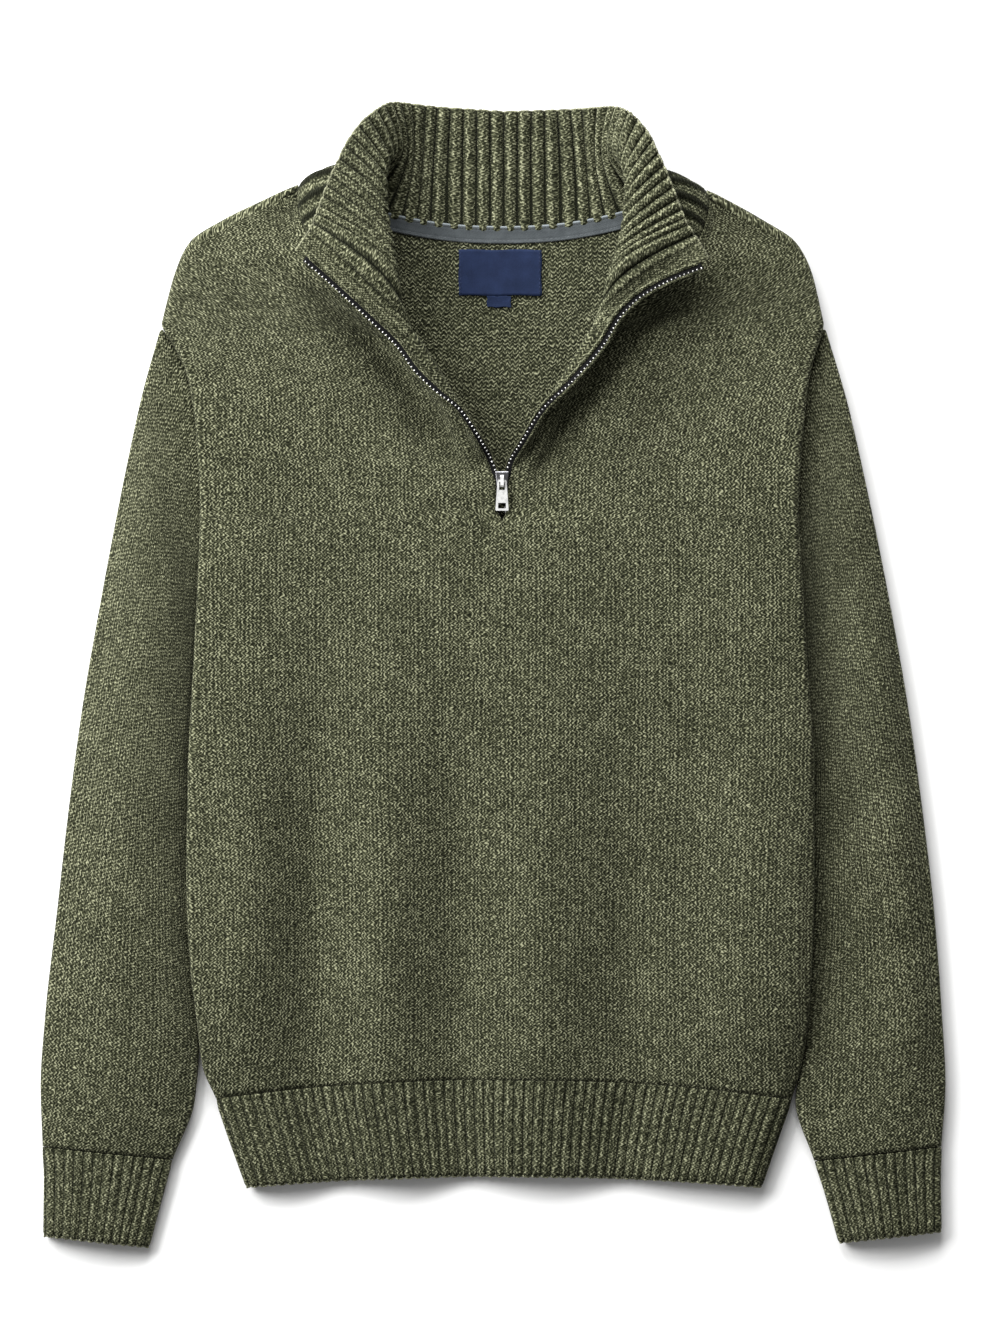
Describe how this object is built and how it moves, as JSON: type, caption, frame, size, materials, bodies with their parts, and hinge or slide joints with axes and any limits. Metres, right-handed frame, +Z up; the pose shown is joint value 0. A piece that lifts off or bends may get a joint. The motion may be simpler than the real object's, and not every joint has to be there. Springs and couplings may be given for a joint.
{
  "type": "quarter zip sweater",
  "caption": "Knitted long sleeved pullover with a zip at the neck and a ribbed stand collar folded open, laid flat on its back.",
  "frame": {"origin": "middle of the footprint, on the surface it lies on", "axes": "+Y toward the collar, +Z up through the front, +X toward the picture's right (the wearer's left)"},
  "size_m": [0.6325, 0.7985, 0.0471],
  "materials": {
    "knit": "matt plain knit, olive marl",
    "rib": "matt rib, olive marl",
    "zip_tape": "matt woven tape",
    "slider_metal": "dark satin",
    "steel": "polished",
    "twill": "matt twill",
    "label_weave": "satin weave"
  },
  "bodies": {
    "sweater": {"front": "knit", "back": "knit", "sleeve_left": "knit", "sleeve_right": "knit", "cuff_left": "rib", "cuff_right": "rib", "hem": "rib", "collar": "rib", "zip_tape_left": "zip_tape", "zip_tape_right": "zip_tape", "slider": "slider_metal", "slider_bridge": "steel", "neck_tape": "twill", "label": "label_weave", "size_tab": "label_weave"},
    "pull": {"pull_tab": "steel"}
  },
  "joints": [
    {"name": "pull_tab_hinge", "type": "hinge", "parent": "sweater", "child": "pull", "pos_m": [0.0063, 0.1358, 0.0192], "axis": [-1, 0, 0], "range_deg": [0, 150]}
  ]
}
